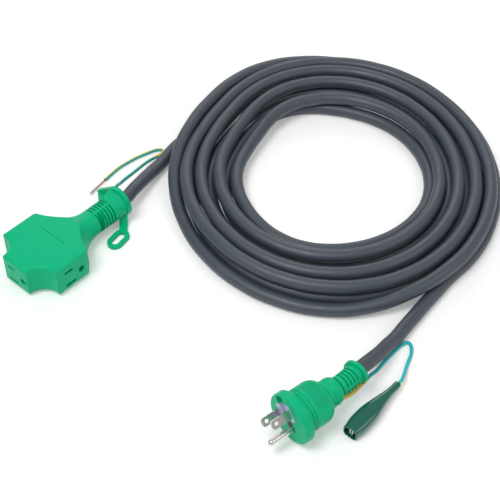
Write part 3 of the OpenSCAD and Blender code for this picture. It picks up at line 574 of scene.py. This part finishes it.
def coil_points():
    """Two layers of turns: the upper ones rest in the valleys of the lower ones."""
    count = round(COIL_ALL * PER_TURN)
    steps = [COIL_ALL * i / count for i in range(count + 1)]
    first, last = coil_flat(0), coil_flat(COIL_ALL)
    into = (first - coil_flat(0.01)).normalized()
    tail = COIL_ALL - UPPER_END - LANDED
    lying = [INNER * i / LOWER_SAMPLES for i in range(LOWER_SAMPLES + 1)]
    lying += [COIL_ALL - tail * i / TAIL_SAMPLES for i in range(TAIL_SAMPLES + 1)]
    on_floor = [(s, coil_flat(s)) for s in lying]
    # the two runs lie a whole turn away from the coil's ends, so that all of the coil can rest on them
    tap_run = rounded([*map(Vector, TAP_RUN), first + into * CORD_D], RUN_STEP)
    plug_run = rounded([last, *map(Vector, PLUG_RUN)], RUN_STEP)
    on_floor += [(-1, flat(p)) for p in tap_run] + [(COIL_ALL + 1, flat(p)) for p in plug_run]
    heights = []
    for s in steps:
        lift = eased(s, LIFTS, LIFT_REACH)
        here = coil_flat(s)
        rest = 0.0
        for at, p in on_floor:
            away = (p - here).length
            if away < CORD_D and abs(at - s) > OWN_SPAN:
                rest = max(rest, math.sqrt(CORD_D**2 - away**2))
        heights.append(lift * (rest + REST_GAP))
    crest = [max(heights[max(i - 1, 0) : i + 2]) if h else 0 for i, h in enumerate(heights)]
    heights = [
        h if i in (0, count) or h == 0 else (crest[i - 1] + 2 * h + crest[i + 1]) / 4
        for i, h in enumerate(crest)
    ]
    return [Vector((*coil_flat(s)[:2], COIL_LOW + h)) for s, h in zip(steps, heights)]


def relief_point(degrees):
    """A place on the cord's middle where it bends through the plug's relief."""
    middle = Vector((RELIEF_X, -RELIEF_BEND, 0))
    a = math.radians(90 + degrees)
    return plug_point(middle + RELIEF_BEND * Vector((math.cos(a), math.sin(a), 0)))


def main_route():
    """The whole cord, from inside the tap's neck through the coil to the plug."""
    coil = coil_points()
    into = (coil[0] - coil[1]).normalized()
    start = [tap_point((x, 0, AXIS_Z)) for x in (*INSIDE_TAP, NECK_END, NECK_END + 6)]
    start += [Vector(p) for p in TAP_RUN]
    start.append(coil[0] + into * CORD_D)
    end = [Vector(p) for p in PLUG_RUN]
    plug = [plug_point((INSIDE_PLUG, 0, 0)), plug_point((RELIEF_X, 0, 0))]
    plug += [relief_point(RELIEF_ANGLE * i / 3) for i in (1, 2, 3)]
    plug.append(relief_point(RELIEF_ANGLE + 2))
    return start + coil + end + list(reversed(plug))


def tap_lead_route():
    points = [tap_point(INSIDE_TAP_LEAD), tap_point(TAP_LEAD_EXIT)]
    return points + [Vector(p) for p in TAP_LEAD_RUN]


def clip_lead_route():
    points = [plug_point(INSIDE_PLUG_LEAD), plug_point(PLUG_LEAD_EXIT)]
    points += [Vector(p) for p in CLIP_LEAD_RUN]
    points += [clip_point((x, 0, 0)) for x in (-BOOT_LEN - 4, -BOOT_LEN, INSIDE_BOOT)]
    return points


# ---------------------------------------------------------------- cords
def bezier_cord(name, points, diameter, material):
    data = bpy.data.curves.new(name, "CURVE")
    data.dimensions = "3D"
    data.resolution_u = 6
    data.bevel_depth = diameter / 2
    data.bevel_resolution = 6
    data.use_fill_caps = True
    spline = data.splines.new("BEZIER")
    spline.bezier_points.add(len(points) - 1)
    for knot, point in zip(spline.bezier_points, points):
        knot.co = point
        knot.handle_left_type = knot.handle_right_type = "AUTO"
    data.materials.append(material)
    piece = bpy.data.objects.new(name, data)
    bpy.context.scene.collection.objects.link(piece)
    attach(piece, "cord_set")
    return piece


def make_cord():
    route = [p * MM for p in main_route()]
    cord = bezier_cord("cord", route, CORD_D * MM, sheath_rubber())
    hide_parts("cord_tap_end", "cord_coil", "cord_plug_end")
    round(length_of(rounded(route, 0.002)), 2)


LEAD_STEP = 0.0015
LEAD_SIDES = 20


def make_lead(name, route, node, stripe, green):
    path = rounded([p * MM for p in route], LEAD_STEP)
    mesh = tube_mesh(name, path, LEAD_D / 2 * MM, LEAD_SIDES, stripe)
    material = striped_insulation(name + "_insulation", green)
    lead = new_piece(name, mesh, material, "cord_set")
    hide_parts(node)


# ---------------------------------------------------------------- moulded covers
# corners nearer than this are welded, in metres; edges bent less than this are smooth, in degrees
WELD = 0.000002
SMOOTH_ANGLE = 38


def smooth_copy(node, name, material):
    """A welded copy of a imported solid, shaded smooth up to an angle."""
    mesh = nodes[node].data.copy()
    mesh.name = name
    bm = bmesh.new()
    bm.from_mesh(mesh)
    bmesh.ops.remove_doubles(bm, verts=bm.verts, dist=WELD)
    bm.to_mesh(mesh)
    bm.free()
    for attribute in [a.name for a in mesh.attributes if a.name in ("custom_normal", "sharp_face")]:
        mesh.attributes.remove(mesh.attributes[attribute])
    mesh.shade_smooth()
    mesh.set_sharp_from_angle(angle=math.radians(SMOOTH_ANGLE))
    piece = new_piece(name, mesh, material, "cord_set")
    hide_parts(node)
    return piece


# ---------------------------------------------------------------- clip boot
BOOT_SIDES = 64
# stations along the boot: close together at the lip, even along the body, close at the tail
BOOT_STATIONS = [0, -0.3, -0.8, -1.6] + [-2.5 - 1.2 * i for i in range(42)] + [-53.4, -53.8, -54]
# how square the cross section is (1 is an oval), and where and how fast it gets rounder
BOOT_SQUARE = 0.62
BOOT_ROUNDER = 0.34
BOOT_ROUND_FROM = -37
BOOT_ROUND_SPAN = 12
BOOT_LIP = 0.12
# place behind the mouth, half width and half height
BOOT_SHAPE = (
    (0, 5.6, 4.9), (-2.5, 6, 5.15), (-8, 6.9, 5.3), (-15, 7.1, 5.3), (-22, 6.7, 5.2),
    (-29, 5.4, 4.9), (-37, 3.9, 4.2), (-45, 2.9, 3.4), (-52, 2.7, 2.9), (-BOOT_LEN, 2.5, 2.7),
)
BOOT_HOLLOW = (
    (0, 4.8, 4.1), (-2.5, 5.2, 4.3), (-8, 6.1, 4.5), (-15, 6.3, 4.5), (-22, 5.9, 4.4),
    (-29, 4.6, 4.1), (-37, 3.1, 3.4), (-45, 2, 2.3), (-52, 1.5, 1.5), (-BOOT_LEN, 1.5, 1.5),
)


def between(table, x):
    """Smooth half width and half height of the boot at x."""
    rows = rounded([Vector(r) for r in table], 0.5)
    for a, b in zip(rows, rows[1:]):
        if b.x <= x <= a.x:
            t = (a.x - x) / max(a.x - b.x, 1e-9)
            return a.y + (b.y - a.y) * t, a.z + (b.z - a.z) * t
    return rows[-1].y, rows[-1].z


def boot_power(x):
    """The exponent of the cross section at x: squarish, and rounder towards the tail."""
    rounder = max(0, min(1, (BOOT_ROUND_FROM - x) / BOOT_ROUND_SPAN))
    return BOOT_SQUARE + BOOT_ROUNDER * rounder


def make_boot():
    bm = bmesh.new()

    def ring(x, half_y, half_z):
        power = boot_power(x)
        row = []
        for k in range(BOOT_SIDES):
            a = 2 * math.pi * k / BOOT_SIDES
            c, s = math.cos(a), math.sin(a)
            y = half_y * math.copysign(abs(c) ** power, c)
            z = half_z * math.copysign(abs(s) ** power, s)
            row.append(bm.verts.new(clip_point((x, y, z)) * MM))
        return row

    rings = []
    for x in BOOT_STATIONS:
        y, z = between(BOOT_SHAPE, x)
        lip = BOOT_LIP if x == 0 else 0
        rings.append(ring(x, y - lip, z - lip))
    for x in reversed(BOOT_STATIONS):
        y, z = between(BOOT_HOLLOW, x)
        rings.append(ring(x, y, z))
    for i in range(len(rings)):
        a, b = rings[i], rings[(i + 1) % len(rings)]
        for k in range(BOOT_SIDES):
            n = (k + 1) % BOOT_SIDES
            bm.faces.new((a[k], b[k], b[n], a[n])).smooth = True
    bmesh.ops.recalc_face_normals(bm, faces=bm.faces)
    mesh = bpy.data.meshes.new("boot")
    bm.to_mesh(mesh)
    bm.free()
    boot = new_piece("boot", mesh, boot_vinyl(), "cord_set")
    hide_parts("clip_boot")
    return boot


# ---------------------------------------------------------------- bare strands
STRANDS = 7
STRAND_FROM = Vector((35.96, 97.05, 1.5))
STRAND_TO = Vector((29.9, 87.5, 1.4))
STRAND_POINTS = 15
STRAND_SIDES = 8
# radius of a strand and how uneven it is, how far the outer ones lie from the middle one, and how
# much further they swell halfway
STRAND_R = 0.2
STRAND_UNEVEN = 0.01
STRAND_REACH = 0.42
STRAND_SWELL = 0.5
STRAND_TWIST = 2.2        # radians


def make_strands():
    """Six fine wires twisted round a seventh, from the tap's lead to its small tip."""
    rng = random.Random(4)
    run = STRAND_TO - STRAND_FROM
    side = run.cross(Vector((0, 0, 1))).normalized()
    meshes = []
    for k in range(STRANDS):
        phase = 2 * math.pi * k / (STRANDS - 1)
        reach = 0 if k == STRANDS - 1 else STRAND_REACH
        points = []
        for i in range(STRAND_POINTS):
            t = i / (STRAND_POINTS - 1)
            swell = reach * (1 + STRAND_SWELL * math.sin(math.pi * t))
            a = phase + STRAND_TWIST * t
            across = side * swell * math.cos(a) + Vector((0, 0, swell * math.sin(a)))
            points.append((STRAND_FROM + run * t + across) * MM)
        radius = STRAND_R + STRAND_UNEVEN * rng.random()
        meshes.append(tube_mesh("strand", points, radius * MM, STRAND_SIDES))
    bm = bmesh.new()
    for mesh in meshes:
        bm.from_mesh(mesh)
        bpy.data.meshes.remove(mesh)
    joined = bpy.data.meshes.new("tap_lead_strands")
    bm.to_mesh(joined)
    bm.free()
    strands = new_piece("tap_lead_strands", joined, copper(), "cord_set")
    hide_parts("tap_lead_wire")
    return strands


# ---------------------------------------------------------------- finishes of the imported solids
def finish_nodes():
    nickel = metal("nickel_plate", (0.72, 0.7, 0.68), 0.24)
    brass = metal("brass_strip", (0.8, 0.62, 0.3), 0.3)
    steel = metal("spring_steel", (0.6, 0.6, 0.6), 0.3)
    ivory = plastic("ivory_plastic", (0.72, 0.68, 0.58))
    lilac = plastic("lilac_plastic", (0.46, 0.5, 0.7), 0.32)
    black = plastic("black_insulation", (0.01, 0.01, 0.011), 0.35)
    white = plastic("white_insulation", (0.78, 0.78, 0.75), 0.35)
    core_green = plastic("green_insulation", (0.01, 0.3, 0.06), 0.35)
    plated = (
        "live_blade", "neutral_blade", "earth_pin", "earth_pivot",
        "tap_lead_tip", "clip_jaw_left", "clip_jaw_right", "clip_pivot",
    )
    strips = ("tap_hot_bus", "tap_neutral_bus", "tap_earth_bus", "earth_bracket", "earth_leaf", "clip_wire")
    chosen = (
        (nickel, plated),
        (brass, strips),
        (steel, ("clip_spring",)),
        (ivory, ("tap_core_lower", "tap_core_upper")),
        (lilac, ("plug_core",)),
        (black, ("tap_black_core", "plug_black_core")),
        (white, ("tap_white_core", "plug_white_core")),
        (core_green, ("tap_green_core", "plug_green_core")),
    )
    for material, names in chosen:
        for name in names:
            nodes[name].data.materials.clear()
            nodes[name].data.materials.append(material)


# ---------------------------------------------------------------- stage
FLOOR_HALF = 6
FLOOR_GLOW = 0.22
WORLD_LIGHT = 0.42
LAMP_AIM = (0.17, 0.05, 0)
# name, place, width and height in metres, power in watts
LAMPS = (
    ("key", (-0.35, -0.5, 1.5), (0.7, 0.7), 13),
    ("fill", (1.3, -0.3, 1.1), (0.8, 0.8), 3),
    ("back", (0.2, 1.5, 0.9), (1.2, 0.6), 5),
)


def area_light(name, place, size, power):
    data = bpy.data.lights.new(name, "AREA")
    data.shape = "RECTANGLE"
    data.size, data.size_y = size
    data.energy = power
    lamp = bpy.data.objects.new(name, data)
    bpy.context.scene.collection.objects.link(lamp)
    lamp.location = place
    lamp.rotation_euler = (Vector(LAMP_AIM) - Vector(place)).to_track_quat("-Z", "Y").to_euler()


def pale_floor():
    """A plain pale floor with a faint glow that only the camera, shiny things and clear ones see."""
    s = Surface("floor", (0.9, 0.9, 0.9), 0.9)
    s.mottle(3, 0.004)
    s.set("Specular IOR Level", 0.0)
    path = s.nodes.new("ShaderNodeLightPath").outputs
    through = s.math("MAXIMUM", path["Is Glossy Ray"], path["Is Transmission Ray"])
    seen = s.math("MAXIMUM", path["Is Camera Ray"], through)
    s.set("Emission Color", (1, 1, 1, 1))
    s.links.new(s.math("MULTIPLY", seen, FLOOR_GLOW), s.shader.inputs["Emission Strength"])
    return s.material


def make_stage():
    mesh = bpy.data.meshes.new("floor")
    h = FLOOR_HALF
    mesh.from_pydata([(-h, -h, 0), (h, -h, 0), (h, h, 0), (-h, h, 0)], [], [(0, 1, 2, 3)])
    floor = bpy.data.objects.new("floor", mesh)
    bpy.context.scene.collection.objects.link(floor)
    mesh.materials.append(pale_floor())

    world = bpy.data.worlds.new("studio")
    bpy.context.scene.world = world
    world.use_nodes = True
    background = world.node_tree.nodes["Background"]
    background.inputs["Color"].default_value = (1, 1, 1, 1)
    background.inputs["Strength"].default_value = WORLD_LIGHT

    for lamp in LAMPS:
        area_light(*lamp)
    scene = bpy.context.scene
    scene.view_settings.view_transform = "Standard"
    scene.render.film_transparent = False


def build():
    make_camera()
    smooth_copy("tap_cover", "tap_moulding", green_rubber())
    smooth_copy("plug_cover", "plug_moulding", plug_rubber())
    make_cord()
    strands = make_strands()
    make_lead(
        "tap_earth_lead",
        tap_lead_route(),
        "tap_lead",
        TAP_STRIPE,
        TEAL,
    )
    boot = make_boot()
    make_lead(
        "plug_earth_lead",
        clip_lead_route(),
        "clip_lead",
        CLIP_STRIPE,
        CYAN,
    )
    finish_nodes()
    make_stage()


build()
